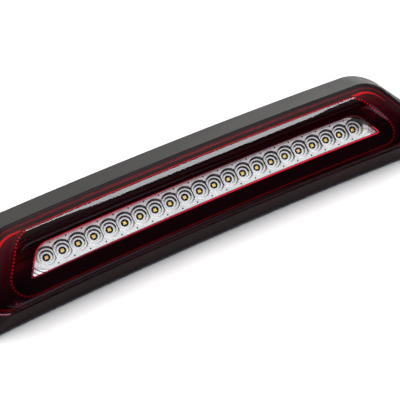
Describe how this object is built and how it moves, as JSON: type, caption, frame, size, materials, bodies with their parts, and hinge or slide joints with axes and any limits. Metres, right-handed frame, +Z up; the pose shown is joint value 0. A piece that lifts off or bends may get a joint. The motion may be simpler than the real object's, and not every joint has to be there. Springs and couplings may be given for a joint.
{
  "type": "third brake light",
  "caption": "Long tapered centre brake light: smoked red lens with a prism guide ring around a clear cargo light window, on a flanged housing with rear studs, gasket and socket.",
  "frame": {"origin": "on the plane of the gasket's rear face, at the centre of the four mounting studs", "axes": "+X along the lamp, +Z up as fitted to the vehicle, and the lens looks along -Y, so the studs point along +Y"},
  "size_m": [0.3958, 0.0687, 0.0826],
  "materials": {
    "housing_black": "satin, fine moulded grain",
    "cover_black": "matt, moulded grain",
    "seal_rubber": "matt",
    "screw_zinc": "zinc plated",
    "lens_smoked_red": "high gloss, smoked red, see-through",
    "lens_clear": "high gloss, clear",
    "bond_adhesive": "matt",
    "guide_red": "glossy red, prism teeth",
    "bezel_dark": "semi-gloss, fine flutes",
    "reflector_chrome": "vacuum metallised",
    "board_black": "black solder mask",
    "led_package": "white moulded package",
    "led_phosphor": "yellow phosphor gel",
    "chip_black": "satin",
    "spreader_aluminium": "rolled",
    "standoff_black": "matt",
    "board_green": "green solder mask",
    "brake_led_red": "red-tinted package",
    "ferrite_grey": "matt ferrite",
    "wire_pvc": "satin PVC",
    "clip_nylon": "satin nylon",
    "socket_black": "satin",
    "pin_tinned": "tinned",
    "seal_orange": "matt silicone",
    "vent_black": "satin",
    "membrane_white": "matt felt",
    "gasket_foam": "closed-cell foam",
    "stud_zinc": "yellow zinc plated"
  },
  "bodies": {
    "root": {"housing": "housing_black", "rear_cover": "cover_black", "cover_seal": "seal_rubber", "cover_screws": "screw_zinc", "outer_lens": "lens_smoked_red", "clear_window": "lens_clear", "lens_bond_bead": "bond_adhesive", "light_guide": "guide_red", "inner_bezel": "bezel_dark", "chrome_reflector": "reflector_chrome", "led_board": "board_black", "cargo_leds": "led_package", "led_phosphors": "led_phosphor", "board_resistors": "chip_black", "heat_spreader": "spreader_aluminium", "board_screws": "screw_zinc", "board_standoffs": "standoff_black", "brake_led_boards": "board_green", "brake_leds": "brake_led_red", "driver_board": "board_green", "driver_coils": "ferrite_grey", "driver_chips": "chip_black", "driver_screws": "screw_zinc", "jumper_wires": "wire_pvc", "wire_clips": "clip_nylon", "connector_socket": "socket_black", "terminal_pins": "pin_tinned", "socket_seal": "seal_orange", "vent_caps": "vent_black", "vent_membranes": "membrane_white", "rear_gasket": "gasket_foam", "mounting_studs": "stud_zinc", "stud_seals": "gasket_foam"}
  },
  "joints": []
}
